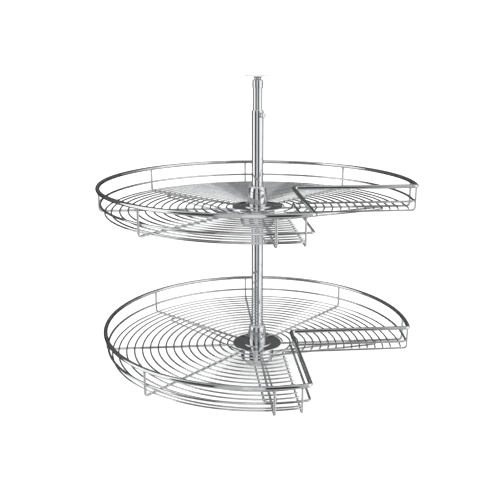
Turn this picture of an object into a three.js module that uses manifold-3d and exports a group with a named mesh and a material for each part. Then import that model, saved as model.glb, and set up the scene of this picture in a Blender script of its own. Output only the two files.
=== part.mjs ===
// Corner carousel: a telescopic column that turns between two fixed plates and carries
// two three-quarter-round wire baskets, each clamped to the column by its own hub.
import * as THREE from 'three';
import { mergeVertices } from 'three/addons/utils/BufferGeometryUtils.js';
import Module from 'manifold-3d';

const wasm = await Module();
wasm.setup();

// All sizes are in millimetres. The column stands on the Z axis and the open quarter
// of the baskets faces +X and -Y. Heights in a basket are measured from its floor wires.

// Gaps
const seatGap = 0.3; // between pieces that touch
const plateToCupGap = 4; // lowest basket hub above the base plate

// Wires, as diameters
const rimWire = 9.5;
const midRailWire = 5.2;
const floorWire = 3.6;
const spokeWire = 5.5;
const notchWire = 4.5;
const braceWire = 4.5;
const weldSink = 0.4; // how far the floor wires sink into the spoke that they are welded to

// Basket outline
const rimRadius = 375;
const rimHeight = 56.8;
const midRailHeight = 20.8;
const notchOffset = 75; // from the column to the straight sides of rim and mid rail
const rimCornerRadius = 9;
const rimInnerCornerRadius = 10;
const midRailCornerRadius = 7;
const uprightOutset = 1; // uprights stand this far outside the rim's centre line

// Basket floor
const edgeRingInset = 14; // from the rim to the ring that edges the floor
const spiralInset = 21.7; // from the rim to the outer end of the floor's spiral wire
const spiralClearance = 2.9; // between the hub disc and the inner end of the spiral
const spiralTurns = 15; // the last turn stops in the middle of the open quarter
const openQuarterMiddle = 315; // degrees
const notchWireInset = 18; // the open quarter's wire, inside the rim's straight sides
const floorOverhang = 4.5; // cut ends of the floor wires beyond that wire
const wireBendRadius = 8;
const spokeInnerRadius = 30;
const spokeSpacing = 45; // degrees
const spokeCount = 7;
const weldedSpoke = 3; // the spoke, counted from +X, that carries the floor wires
const uprightStub = 2; // level run of a separate upright before its bend

// Braces under the floor
const braceAzimuths = [0, 135, 270];
const braceReach = 308;
const braceSpread = 26;
const braceHubDepth = 31.5; // below the floor wires where a brace meets the hub

// Hub
const cupRadius = 41.5;
const cupLipWidth = 7;
const cupLipRise = 1; // the lip stands out from the cup's wall by this much
const cupDepth = 46;
const cupShoulderDepth = 26; // where the wall starts to curve in
const cupBottomRadius = 31;
const cupWall = 2.3;
const sleeveWall = 3.2;
const discRadius = 60.6;
const discTop = 1.8;
const discThickness = 2.6;
const discEdge = 0.8;
const discBossRadius = 30;
const discBossHeight = 2.5;
const collarTop = 48;
const collarBaseRadius = 23.6;
const collarShoulderRadius = 23; // the wall bends in towards the top past here
const collarShoulderHeight = 33;
const collarTopRadius = 19.4;
const collarEdge = 1.8;
const clampScrewRadius = 4;
const clampScrewHeight = 29;
const clampScrewProud = 0.6;
const screwSocketRadius = 1.9;
const screwSocketDepth = 2.2;

// Column
const screwAzimuth = 300; // degrees, where the clamp screws and the thumb screw face
const tierSpacing = 352.5;
const outerTubeRadius = 14;
const tubeWall = 1.5;
const outerTubeRise = 227.7; // above the upper basket's floor wires
const innerTubeRadius = 11;
const innerTubeOverlap = 200;
const exposedMast = 51; // between the outer tube and the mast cap
const guideDepth = 30;
const guideLipHeight = 1.7;
const mastGuideHeight = 18;
const capRadius = 12.4;
const capHeight = 20;
const capSocketDepth = 14;
const capShoulderWidth = 4.2;
const capShoulderHeight = 2.8;

// Thumb screw
const thumbScrewDrop = 10; // below the top of the outer tube
const thumbShankRadius = 3;
const thumbNutRadius = 5.5;
const thumbNutHeight = 2.7;
const thumbHeadRadius = 5.8;
const thumbHeadHeight = 8;
const thumbHeadEdge = 2.2;
const thumbHeadUnderEdge = 1.2;

// Base plate, its pivot and the top plate
const plateRadius = 29.5;
const basePlateThickness = 5;
const plateEdge = 1.2;
const baseBossRadius = 12.5;
const baseBossHeight = 3;
const pivotRadius = 6;
const pivotSeatDepth = 6;
const pivotHeight = 34;
const pivotChamfer = 1.2;
const washerThickness = 1.5;
const footBushLip = 1.9;
const footBushHeight = 30;
const topPlateThickness = 3;
const neckRadius = 7.5;
const neckFlareRadius = 13.5;
const neckHeight = 5.3;
const neckStraight = 0.7; // the neck flares above this
const spigotRadius = 4;
const spigotInset = 0.4; // end of the spigot below the top plate's face
const plateScrewCircle = 19.5;
const plateScrewRadius = 2.2;
const plateScrewHeadRadius = 4.2;
const plateScrewCount = 3;
const firstPlateScrew = 90; // degrees

// Facets
const roundFacets = 16;
const smallFacets = 10;
const rimSides = 8;
const wireSides = 6;
const thinWireSides = 5;
const rimFacetAngle = 9; // degrees of arc for each facet of rim and mid rail
const floorSag = 3.9; // how far a floor wire's facets may leave its true curve
const bendSteps = 3;
const collarSteps = 4;
const hairpinSteps = 6;
const edgeTurn = 1 / 3; // of a rounded edge's width, where its two facets meet

// Places worked out from the sizes above
const fullTurn = 360; // degrees
const degrees = (2 * Math.PI) / fullTurn;
const cupBottomHeight = basePlateThickness + plateToCupGap;
const baseBossTop = basePlateThickness + baseBossHeight;
const lowerFloorHeight = cupBottomHeight + cupDepth;
const upperFloorHeight = lowerFloorHeight + tierSpacing;
const basketFloors = { lower: lowerFloorHeight, upper: upperFloorHeight };
const uprightRadius = rimRadius + uprightOutset;
const uprightTop = rimHeight - rimWire / 2 - seatGap;
const uprightFoot = uprightRadius - wireBendRadius - uprightStub;
const midRailRadius = uprightRadius - (spokeWire + midRailWire) / 2 - seatGap;
const notchWireOffset = notchOffset - notchWireInset;
const notchWireLevel = -(floorWire + notchWire) / 2 - seatGap;
const spokeLevel = -(floorWire + spokeWire) / 2 - seatGap;
const weldedSpokeLevel = -(floorWire + spokeWire) / 2 + weldSink;
const braceLevel = spokeLevel - (spokeWire + braceWire) / 2 - seatGap;
const cupTop = spokeLevel - spokeWire / 2 - seatGap;
const sleeveTop = discTop - discThickness - seatGap;
const collarBottom = discTop + discBossHeight + seatGap;
const washerBottom = baseBossTop + seatGap;
const footBushBottom = washerBottom + washerThickness + seatGap;
const outerTubeBottom = footBushBottom + footBushLip + seatGap;
const outerTubeTop = upperFloorHeight + outerTubeRise;
const thumbScrewHeight = outerTubeTop - thumbScrewDrop;
const guideLipBottom = outerTubeTop + seatGap;
const tubeBore = outerTubeRadius - tubeWall;
const capBottom = outerTubeTop + exposedMast;
const capTop = capBottom + capHeight;
const innerTubeTop = capBottom + capSocketDepth - seatGap;
const innerTubeBottom = outerTubeTop - innerTubeOverlap;
const neckBottom = capTop + seatGap;
const topPlateBottom = neckBottom + neckHeight + seatGap;
const topPlateTop = topPlateBottom + topPlateThickness;

// A bore that clears a round shaft by the seat gap, measured to the flats of its facets
function boreFor(shaftRadius, facets = roundFacets) {
  return (shaftRadius + seatGap) / Math.cos(Math.PI / facets);
}

// A round body that clears the flats inside a tube by the seat gap
function bodyFor(boreRadius) {
  return boreRadius * Math.cos(Math.PI / roundFacets) - seatGap;
}

// Finishes
const chrome = { color: 0xd9dbde, metalness: 1, roughness: 0.12 };
const whiteNylon = { color: 0xf0f0ec, metalness: 0, roughness: 0.45 };
const zincSteel = { color: 0xb9bcc0, metalness: 1, roughness: 0.35 };

// A circular bend in space: the start arm swings about an axis through the centre
class Bend extends THREE.Curve {
  constructor(center, startArm, axis, angle) {
    super();
    Object.assign(this, { center, startArm, axis, angle });
  }

  getPoint(t, target = new THREE.Vector3()) {
    return target.copy(this.startArm).applyAxisAngle(this.axis, this.angle * t).add(this.center);
  }
}

// A wire's centre line, made of stretches. Each stretch has its own number of steps, so
// that straight runs cost one step and bends get as many as they need.
class WirePath extends THREE.Curve {
  constructor(stretches) {
    super();
    this.stretches = stretches;
    this.steps = stretches.reduce((sum, stretch) => sum + stretch.steps, 0);
  }

  getUtoTmapping(u) {
    return u;
  }

  getPoint(t, target = new THREE.Vector3()) {
    const station = t * this.steps;
    const last = this.stretches.length - 1;
    let passed = 0;
    for (const [index, { curve, steps }] of this.stretches.entries()) {
      if (station <= passed + steps || index === last) {
        return curve.getPoint((station - passed) / steps, target);
      }
      passed += steps;
    }
    return target;
  }
}

function straight(start, end) {
  return { curve: new THREE.LineCurve3(start, end), steps: 1 };
}

// A level wire that winds out from a radius by a pitch, from one count of turns to another
class SpiralTurn extends THREE.Curve {
  constructor(startRadius, pitch, startTurn, endTurn) {
    super();
    Object.assign(this, { startRadius, pitch, startTurn, endTurn });
  }

  getPoint(t, target = new THREE.Vector3()) {
    const turn = THREE.MathUtils.lerp(this.startTurn, this.endTurn, t);
    const radius = this.startRadius + this.pitch * turn;
    const angle = 2 * Math.PI * turn;
    return target.set(radius * Math.cos(angle), radius * Math.sin(angle), 0);
  }
}

// A level arc about a point in plan, from one angle to another, in radians
function levelArc(center, radius, startAngle, endAngle, steps) {
  const arm = new THREE.Vector3(radius * Math.cos(startAngle), radius * Math.sin(startAngle), 0);
  const up = new THREE.Vector3(0, 0, 1);
  return { curve: new Bend(center, arm, up, endAngle - startAngle), steps };
}

// A wire through corner points, with every corner bent to the same radius
function bentPath(corners, bendRadius, steps = bendSteps) {
  const stretches = [];
  let start = corners[0];
  for (let i = 1; i < corners.length - 1; i += 1) {
    const incoming = corners[i].clone().sub(corners[i - 1]).normalize();
    const outgoing = corners[i + 1].clone().sub(corners[i]).normalize();
    const turn = incoming.angleTo(outgoing);
    const tangentLength = bendRadius * Math.tan(turn / 2);
    const axis = incoming.clone().cross(outgoing).normalize();
    const bendStart = corners[i].clone().addScaledVector(incoming, -tangentLength);
    const bendEnd = corners[i].clone().addScaledVector(outgoing, tangentLength);
    const center = bendStart.clone().addScaledVector(axis.clone().cross(incoming), bendRadius);
    stretches.push(straight(start, bendStart));
    stretches.push({ curve: new Bend(center, bendStart.clone().sub(center), axis, turn), steps });
    start = bendEnd;
  }
  stretches.push(straight(start, corners.at(-1)));
  return new WirePath(stretches);
}

function polygon(radius, sides) {
  const corners = [];
  for (let i = 0; i < sides; i += 1) {
    const angle = (i / sides) * 2 * Math.PI;
    corners.push(new THREE.Vector2(radius * Math.cos(angle), radius * Math.sin(angle)));
  }
  return new THREE.Shape(corners);
}

function openWire(path, diameter, sides = wireSides) {
  const section = polygon(diameter / 2, sides);
  return new THREE.ExtrudeGeometry(section, { steps: path.steps, bevelEnabled: false, extrudePath: path });
}

function closedWire(path, diameter, sides) {
  return new THREE.TubeGeometry(path, path.steps, diameter / 2, sides, true);
}

// Turns a profile of [radius, height] points about the Z axis
function revolve(profile, facets = roundFacets) {
  const points = profile.map(([radius, height]) => new THREE.Vector2(radius, height));
  return new THREE.LatheGeometry(points, facets).rotateX(Math.PI / 2);
}

// A plain ring or tube
function hollowRound(outerRadius, boreRadius, bottom, top, facets = roundFacets) {
  return revolve([
    [boreRadius, bottom],
    [outerRadius, bottom],
    [outerRadius, top],
    [boreRadius, top],
    [boreRadius, bottom],
  ], facets);
}

function solidRound(radius, bottom, top, facets = roundFacets) {
  return revolve([[0, bottom], [radius, bottom], [radius, top], [0, top]], facets);
}

// Leaves only positions, with shared corners merged and flat triangles dropped
function weld(geometry) {
  geometry.deleteAttribute('normal');
  geometry.deleteAttribute('uv');
  const merged = mergeVertices(geometry);
  const corners = merged.index.array;
  const kept = [];
  for (let i = 0; i < corners.length; i += 3) {
    const [a, b, c] = corners.slice(i, i + 3);
    if (a !== b && b !== c && c !== a) kept.push(a, b, c);
  }
  merged.setIndex(kept);
  return merged;
}

function toSolid(geometry) {
  const merged = weld(geometry);
  return new wasm.Manifold(new wasm.Mesh({
    numProp: 3,
    vertProperties: new Float32Array(merged.attributes.position.array),
    triVerts: new Uint32Array(merged.index.array),
  }));
}

function toGeometry(solid) {
  const mesh = solid.getMesh();
  const geometry = new THREE.BufferGeometry();
  geometry.setAttribute('position', new THREE.BufferAttribute(mesh.vertProperties, mesh.numProp));
  geometry.setIndex(new THREE.BufferAttribute(mesh.triVerts, 1));
  return geometry;
}

function cut(geometry, ...cutters) {
  const cutSolid = cutters.reduce((solid, cutter) => solid.subtract(toSolid(cutter)), toSolid(geometry));
  return toGeometry(cutSolid);
}

function join(...geometries) {
  return toGeometry(geometries.map(toSolid).reduce((sum, solid) => sum.add(solid)));
}

function addPiece(group, name, geometry, finish, azimuth = 0) {
  const mesh = new THREE.Mesh(weld(geometry), new THREE.MeshStandardMaterial(finish));
  mesh.name = name;
  mesh.rotation.z = azimuth * degrees;
  mesh.geometry.computeVertexNormals();
  group.add(mesh);
}

// Turns a shape modelled on the Z axis so that it points outwards at the screws' azimuth
function faceOutwards(geometry, height) {
  return geometry.rotateY(Math.PI / 2).rotateZ(screwAzimuth * degrees).translate(0, 0, height);
}

// The closed outline that the rim and the mid rail share: three quarters of a circle, two
// straight sides along the open quarter, two outer corners and one inner corner
function basketLoop(radius, cornerRadius, innerCornerRadius, height) {
  const cornerOffset = notchOffset - cornerRadius;
  const cornerReach = Math.sqrt((radius - cornerRadius) ** 2 - cornerOffset ** 2);
  const cornerAngle = Math.atan2(cornerOffset, cornerReach);
  const innerOffset = notchOffset + innerCornerRadius;
  const threeQuarters = 1.5 * Math.PI;
  const endAngle = threeQuarters + cornerAngle;
  const arcSteps = Math.round(threeQuarters / (rimFacetAngle * degrees));
  const at = (x, y) => new THREE.Vector3(x, y, height);
  return new WirePath([
    levelArc(at(0, 0), radius, -cornerAngle, 0, 1),
    levelArc(at(0, 0), radius, 0, threeQuarters, arcSteps),
    levelArc(at(0, 0), radius, threeQuarters, endAngle, 1),
    levelArc(at(cornerOffset, -cornerReach), cornerRadius, endAngle, 2 * Math.PI, bendSteps),
    straight(at(notchOffset, -cornerReach), at(notchOffset, -innerOffset)),
    levelArc(at(innerOffset, -innerOffset), innerCornerRadius, Math.PI, Math.PI / 2, bendSteps),
    straight(at(innerOffset, -notchOffset), at(cornerReach, -notchOffset)),
    levelArc(at(cornerReach, -cornerOffset), cornerRadius, -Math.PI / 2, -cornerAngle, bendSteps),
  ]);
}

function makeRim() {
  const path = basketLoop(rimRadius, rimCornerRadius, rimInnerCornerRadius, rimHeight);
  return closedWire(path, rimWire, rimSides);
}

function makeMidRail() {
  const path = basketLoop(midRailRadius, midRailCornerRadius, midRailCornerRadius, midRailHeight);
  return closedWire(path, midRailWire, thinWireSides);
}

// How many facets keep a full turn of floor wire within its sag
function turnSteps(radius) {
  return Math.ceil(Math.PI / Math.acos(1 - floorSag / radius));
}

// The ring that edges the floor, before it is cut at the open quarter
function makeEdgeRing() {
  const radius = rimRadius - edgeRingInset;
  const circle = levelArc(new THREE.Vector3(), radius, 0, 2 * Math.PI, turnSteps(radius));
  return closedWire(new WirePath([circle]), floorWire, thinWireSides);
}

// One wire winds out from the hub over the whole floor, before it is cut
function makeSpiral() {
  const endTurn = spiralTurns - 1 + openQuarterMiddle / fullTurn;
  const startRadius = discRadius + spiralClearance + floorWire / 2;
  const pitch = (rimRadius - spiralInset - startRadius) / endTurn;
  const stretches = [];
  for (let turn = 0; turn < endTurn; turn += 1) {
    const stop = Math.min(turn + 1, endTurn);
    const steps = Math.round((stop - turn) * turnSteps(startRadius + pitch * (turn + stop) / 2));
    stretches.push({ curve: new SpiralTurn(startRadius, pitch, turn, stop), steps });
  }
  return openWire(new WirePath(stretches), floorWire, thinWireSides);
}

// A spoke runs out under the floor wires and is bent up to stand under the rim
function makeSpoke(level, innerRadius = spokeInnerRadius) {
  const corners = [
    new THREE.Vector3(innerRadius, 0, level),
    new THREE.Vector3(uprightRadius, 0, level),
    new THREE.Vector3(uprightRadius, 0, uprightTop),
  ];
  return openWire(bentPath(corners, wireBendRadius), spokeWire);
}

// The floor grid: the spiral and its edge ring, cut off past the wire that edges the open
// quarter and welded to the middle spoke's level run
function makeFloorGrid() {
  const overhang = notchWireOffset + floorOverhang;
  const openQuarter = new THREE.BoxGeometry(rimRadius, rimRadius, 2 * floorWire);
  openQuarter.translate(overhang + rimRadius / 2, -overhang - rimRadius / 2, 0);
  const spokeStart = new THREE.Vector3(spokeInnerRadius, 0, weldedSpokeLevel);
  const spokeEnd = new THREE.Vector3(uprightFoot - seatGap, 0, weldedSpokeLevel);
  const spoke = openWire(new WirePath([straight(spokeStart, spokeEnd)]), spokeWire);
  return join(
    spoke.rotateZ(weldedSpoke * spokeSpacing * degrees),
    cut(makeSpiral(), openQuarter),
    cut(makeEdgeRing(), openQuarter),
  );
}

// One wire edges the open quarter: up to the rim at both ends, square round the corner
function makeNotchWire() {
  const reach = Math.sqrt(uprightRadius ** 2 - notchWireOffset ** 2);
  const corners = [
    new THREE.Vector3(notchWireOffset, -reach, uprightTop),
    new THREE.Vector3(notchWireOffset, -reach, notchWireLevel),
    new THREE.Vector3(notchWireOffset, -notchWireOffset, notchWireLevel),
    new THREE.Vector3(reach, -notchWireOffset, notchWireLevel),
    new THREE.Vector3(reach, -notchWireOffset, uprightTop),
  ];
  return openWire(bentPath(corners, wireBendRadius), notchWire);
}

// The hub cup's outer wall, from the lip down to the bottom, moved out by an offset
function cupWallProfile(offset) {
  const wall = new THREE.Path();
  const radius = cupRadius + offset;
  const bottom = -cupDepth - offset;
  wall.moveTo(radius, -cupShoulderDepth);
  wall.quadraticCurveTo(radius, bottom, cupBottomRadius + offset, bottom);
  return wall.getPoints(bendSteps).map((point) => [point.x, point.y]);
}

// A brace is a hairpin: its closed end hooks under a spoke and its legs run down to the hub
function makeBrace() {
  const halfSpread = braceSpread / 2;
  const fall = (braceHubDepth + braceLevel) / (braceReach - cupRadius);
  const levelAt = (radius) => braceLevel - (braceReach - radius) * fall;
  const start = new THREE.Vector3(spokeInnerRadius, -halfSpread, levelAt(spokeInnerRadius));
  const bendCenter = new THREE.Vector3(braceReach - halfSpread, 0, levelAt(braceReach - halfSpread));
  const slope = new THREE.Vector3(1, 0, fall).normalize();
  const across = new THREE.Vector3(0, 1, 0);
  const legEnd = bendCenter.clone().addScaledVector(across, -halfSpread);
  const farLegStart = bendCenter.clone().addScaledVector(across, halfSpread);
  const farEnd = new THREE.Vector3(start.x, halfSpread, start.z);
  const bendArm = across.clone().multiplyScalar(-halfSpread);
  const bend = new Bend(bendCenter, bendArm, slope.clone().cross(across), Math.PI);
  const hairpin = { curve: bend, steps: hairpinSteps };
  const path = new WirePath([straight(start, legEnd), hairpin, straight(farLegStart, farEnd)]);
  const hubSpace = revolve([
    [0, -cupDepth - seatGap],
    ...cupWallProfile(seatGap).reverse(),
    [cupRadius + seatGap, 0],
    [0, 0],
  ]);
  return cut(openWire(path, braceWire, thinWireSides), hubSpace);
}

// The hub cup hangs under the floor and the spokes lie on its lip. A sleeve in its middle
// rides on the column and carries the disc.
function makeHubCup() {
  const lipOuter = cupRadius + cupLipRise;
  const lipInner = lipOuter - cupLipWidth;
  const lipBottom = cupTop - cupWall;
  const bore = boreFor(outerTubeRadius);
  const sleeveRadius = bore + sleeveWall;
  const floorTop = cupWall - cupDepth;
  return revolve([
    [bore, -cupDepth],
    ...cupWallProfile(0).reverse(),
    [cupRadius, lipBottom],
    [lipOuter, lipBottom],
    [lipOuter, cupTop],
    [lipInner, cupTop],
    [lipInner, lipBottom],
    [cupRadius - cupWall, lipBottom],
    [cupRadius - cupWall, -cupShoulderDepth],
    [cupBottomRadius - cupWall, floorTop],
    [sleeveRadius, floorTop],
    [sleeveRadius, sleeveTop],
    [bore, sleeveTop],
    [bore, -cupDepth],
  ]);
}

function makeHubDisc() {
  const bore = boreFor(outerTubeRadius);
  const discBottom = discTop - discThickness;
  const bossTop = discTop + discBossHeight;
  return revolve([
    [bore, discBottom],
    [discRadius, discBottom],
    [discRadius, discTop - discEdge],
    [discRadius - discEdge, discTop],
    [discBossRadius, discTop],
    [discBossRadius - discEdge, bossTop],
    [bore, bossTop],
    [bore, discBottom],
  ]);
}

// The collar's outer wall, from the disc up to its rounded top edge
function collarWallProfile() {
  const wall = new THREE.Path();
  wall.moveTo(collarBaseRadius, collarBottom);
  wall.quadraticCurveTo(
    collarShoulderRadius,
    collarShoulderHeight,
    collarTopRadius,
    collarTop - collarEdge,
  );
  return wall.getPoints(collarSteps).map((point) => [point.x, point.y]);
}

function makeHubCollar() {
  const bore = boreFor(outerTubeRadius);
  const collar = revolve([
    [bore, collarBottom],
    ...collarWallProfile(),
    [collarTopRadius - collarEdge * edgeTurn, collarTop - collarEdge * edgeTurn],
    [collarTopRadius - collarEdge, collarTop],
    [bore, collarTop],
    [bore, collarBottom],
  ]);
  const screwBore = boreFor(clampScrewRadius, smallFacets);
  const screwHole = solidRound(screwBore, 0, collarBaseRadius + seatGap, smallFacets);
  return cut(collar, faceOutwards(screwHole, clampScrewHeight));
}

// A round screw body with a driving socket in its outer end
function screwProfile(radius, tip, end, socketRadius, edge) {
  return [
    [0, tip],
    [radius, tip],
    [radius, end - edge],
    [radius - edge, end],
    [socketRadius, end],
    [socketRadius, end - screwSocketDepth],
    [0, end - screwSocketDepth],
  ];
}

// The radius of a faceted wall, given from its foot up, at a height
function wallRadiusAt(profile, height) {
  const next = profile.findIndex((point) => point[1] >= height);
  const [lowRadius, low] = profile[next - 1];
  const [highRadius, high] = profile[next];
  return THREE.MathUtils.mapLinear(height, low, high, lowRadius, highRadius);
}

function makeClampScrew() {
  const tip = outerTubeRadius + seatGap;
  const end = wallRadiusAt(collarWallProfile(), clampScrewHeight) + clampScrewProud;
  const profile = screwProfile(clampScrewRadius, tip, end, screwSocketRadius, clampScrewProud);
  return faceOutwards(revolve(profile, smallFacets), clampScrewHeight);
}

// Screw holes through a plate, wide at the end where the heads sit
function plateScrewHoles(bottom, top, headAtTop) {
  const sink = plateScrewHeadRadius - plateScrewRadius;
  const below = bottom - seatGap;
  const above = top + seatGap;
  const lowerRadius = headAtTop ? plateScrewRadius : plateScrewHeadRadius;
  const upperRadius = headAtTop ? plateScrewHeadRadius : plateScrewRadius;
  const profile = [
    [0, below],
    [lowerRadius, below],
    [lowerRadius, headAtTop ? top - sink : bottom],
    [upperRadius, headAtTop ? top : bottom + sink],
    [upperRadius, above],
    [0, above],
  ];
  const holes = [];
  for (let i = 0; i < plateScrewCount; i += 1) {
    const angle = (i / plateScrewCount) * 2 * Math.PI + firstPlateScrew * degrees;
    const hole = revolve(profile, smallFacets);
    holes.push(hole.translate(plateScrewCircle * Math.cos(angle), plateScrewCircle * Math.sin(angle), 0));
  }
  return holes;
}

function makeBasePlate() {
  const pivotBore = boreFor(pivotRadius);
  const plate = revolve([
    [0, 0],
    [plateRadius, 0],
    [plateRadius, basePlateThickness - plateEdge],
    [plateRadius - plateEdge, basePlateThickness],
    [baseBossRadius, basePlateThickness],
    [baseBossRadius, baseBossTop],
    [pivotBore, baseBossTop],
    [pivotBore, baseBossTop - pivotSeatDepth],
    [0, baseBossTop - pivotSeatDepth],
  ]);
  return cut(plate, ...plateScrewHoles(0, basePlateThickness, true));
}

function makePivotPin() {
  const bottom = baseBossTop - pivotSeatDepth + seatGap;
  const top = bottom + pivotHeight;
  return revolve([
    [0, bottom],
    [pivotRadius, bottom],
    [pivotRadius, top - pivotChamfer],
    [pivotRadius - pivotChamfer, top],
    [0, top],
  ]);
}

// A bush with a lip: the lip stands above or below a body that fits inside the tube
function makeFootBush() {
  const bore = boreFor(pivotRadius);
  const bodyRadius = bodyFor(tubeBore);
  const lipTop = footBushBottom + footBushLip;
  return revolve([
    [bore, footBushBottom],
    [outerTubeRadius, footBushBottom],
    [outerTubeRadius, lipTop],
    [bodyRadius, lipTop],
    [bodyRadius, lipTop + footBushHeight],
    [bore, lipTop + footBushHeight],
    [bore, footBushBottom],
  ]);
}

function makeGuideBush() {
  const bore = boreFor(innerTubeRadius);
  const bodyRadius = bodyFor(tubeBore);
  const lipTop = guideLipBottom + guideLipHeight;
  const bush = revolve([
    [bore, outerTubeTop - guideDepth],
    [bodyRadius, outerTubeTop - guideDepth],
    [bodyRadius, guideLipBottom],
    [outerTubeRadius, guideLipBottom],
    [outerTubeRadius, lipTop],
    [bore, lipTop],
    [bore, outerTubeTop - guideDepth],
  ]);
  return cut(bush, thumbScrewHole());
}

// The way of the thumb screw's shank through tube, bush and nut
function thumbScrewHole() {
  const end = outerTubeRadius + thumbNutHeight + seatGap;
  const hole = solidRound(boreFor(thumbShankRadius, smallFacets), 0, end, smallFacets);
  return faceOutwards(hole, thumbScrewHeight);
}

function makeOuterTube() {
  const tube = hollowRound(outerTubeRadius, tubeBore, outerTubeBottom, outerTubeTop);
  return cut(tube, thumbScrewHole());
}

// The thumb screw's nut is saddled on the round tube
function makeThumbNut() {
  const nut = faceOutwards(
    solidRound(thumbNutRadius, tubeBore, outerTubeRadius + thumbNutHeight, smallFacets),
    thumbScrewHeight,
  );
  const tubeSpace = solidRound(
    outerTubeRadius + seatGap,
    thumbScrewHeight - outerTubeRadius,
    thumbScrewHeight + outerTubeRadius,
  );
  return cut(nut, tubeSpace, thumbScrewHole());
}

function makeThumbScrew() {
  const tip = innerTubeRadius + seatGap;
  const headStart = outerTubeRadius + thumbNutHeight + seatGap;
  const headEnd = headStart + thumbHeadHeight;
  const screw = revolve([
    [0, tip],
    [thumbShankRadius, tip],
    [thumbShankRadius, headStart],
    [thumbHeadRadius - thumbHeadUnderEdge, headStart],
    [thumbHeadRadius, headStart + thumbHeadEdge],
    [thumbHeadRadius, headEnd - thumbHeadEdge],
    [thumbHeadRadius - thumbHeadEdge * edgeTurn, headEnd - thumbHeadEdge * edgeTurn],
    [thumbHeadRadius - thumbHeadEdge, headEnd],
    [screwSocketRadius, headEnd],
    [screwSocketRadius, headEnd - screwSocketDepth],
    [0, headEnd - screwSocketDepth],
  ], smallFacets);
  return faceOutwards(screw, thumbScrewHeight);
}

function makeMastCap() {
  const socket = boreFor(innerTubeRadius);
  return revolve([
    [0, capBottom + capSocketDepth],
    [socket, capBottom + capSocketDepth],
    [socket, capBottom],
    [capRadius, capBottom],
    [capRadius, capTop - capShoulderHeight],
    [capRadius - capShoulderWidth, capTop],
    [0, capTop],
  ]);
}

// The neck flares up to the top plate, and its spigot turns in the plate's hole
function makeTopPin() {
  const neckTop = neckBottom + neckHeight;
  const spigotTop = topPlateTop - spigotInset;
  const flare = new THREE.Path();
  flare.moveTo(neckRadius, neckBottom + neckStraight);
  flare.quadraticCurveTo(neckRadius, neckTop - neckStraight, neckFlareRadius, neckTop);
  return revolve([
    [0, neckBottom],
    [neckRadius, neckBottom],
    ...flare.getPoints(bendSteps).map((point) => [point.x, point.y]),
    [spigotRadius, neckTop],
    [spigotRadius, spigotTop],
    [0, spigotTop],
  ]);
}

function makeTopPlate() {
  const bore = boreFor(spigotRadius);
  const plate = revolve([
    [bore, topPlateBottom],
    [plateRadius - plateEdge, topPlateBottom],
    [plateRadius, topPlateBottom + plateEdge],
    [plateRadius, topPlateTop],
    [bore, topPlateTop],
    [bore, topPlateBottom],
  ]);
  return cut(plate, ...plateScrewHoles(topPlateBottom, topPlateTop, false));
}

function addBasket(parent, tier, floorHeight) {
  const basket = new THREE.Group();
  basket.position.z = floorHeight;
  parent.add(basket);
  addPiece(basket, `${tier}_rim`, makeRim(), chrome);
  addPiece(basket, `${tier}_mid_rail`, makeMidRail(), chrome);
  addPiece(basket, `${tier}_floor_grid`, makeFloorGrid(), chrome);
  addPiece(basket, `${tier}_notch_wire`, makeNotchWire(), chrome);
  for (let i = 0; i < spokeCount; i += 1) {
    const azimuth = i * spokeSpacing;
    if (i === weldedSpoke) {
      const upright = makeSpoke(weldedSpokeLevel, uprightFoot);
      addPiece(basket, `${tier}_upright_${azimuth}`, upright, chrome, azimuth);
    } else {
      addPiece(basket, `${tier}_spoke_${azimuth}`, makeSpoke(spokeLevel), chrome, azimuth);
    }
  }
  for (const azimuth of braceAzimuths) {
    addPiece(basket, `${tier}_brace_${azimuth}`, makeBrace(), chrome, azimuth);
  }
  addPiece(basket, `${tier}_hub_cup`, makeHubCup(), chrome);
  addPiece(basket, `${tier}_hub_disc`, makeHubDisc(), chrome);
  addPiece(basket, `${tier}_hub_collar`, makeHubCollar(), chrome);
  addPiece(basket, `${tier}_clamp_screw`, makeClampScrew(), zincSteel);
}

function addBase(parent) {
  addPiece(parent, 'base_plate', makeBasePlate(), whiteNylon);
  addPiece(parent, 'pivot_pin', makePivotPin(), zincSteel);
  const washerTop = washerBottom + washerThickness;
  const washer = hollowRound(baseBossRadius, boreFor(pivotRadius), washerBottom, washerTop);
  addPiece(parent, 'thrust_washer', washer, zincSteel);
}

function addColumn(parent) {
  addPiece(parent, 'foot_bush', makeFootBush(), whiteNylon);
  addPiece(parent, 'outer_tube', makeOuterTube(), chrome);
  addPiece(parent, 'guide_bush', makeGuideBush(), whiteNylon);
  addPiece(parent, 'thumb_nut', makeThumbNut(), chrome);
  addPiece(parent, 'thumb_screw', makeThumbScrew(), chrome);
}

function addMast(parent) {
  const guide = hollowRound(
    bodyFor(tubeBore),
    boreFor(innerTubeRadius),
    innerTubeBottom,
    innerTubeBottom + mastGuideHeight,
  );
  const tube = hollowRound(innerTubeRadius, innerTubeRadius - tubeWall, innerTubeBottom, innerTubeTop);
  addPiece(parent, 'inner_tube', tube, chrome);
  addPiece(parent, 'mast_guide', guide, whiteNylon);
  addPiece(parent, 'mast_cap', makeMastCap(), chrome);
  addPiece(parent, 'top_pin', makeTopPin(), chrome);
  addPiece(parent, 'top_plate', makeTopPlate(), whiteNylon);
}

const carousel = new THREE.Group();
addBase(carousel);
addColumn(carousel);
addMast(carousel);
for (const [tier, floorHeight] of Object.entries(basketFloors)) {
  addBasket(carousel, tier, floorHeight);
}

export default carousel;
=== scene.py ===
from math import asin, ceil, cos, pi, radians, sin, sqrt, tan

import bmesh
import bpy
from mathutils import Euler, Matrix, Vector


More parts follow.
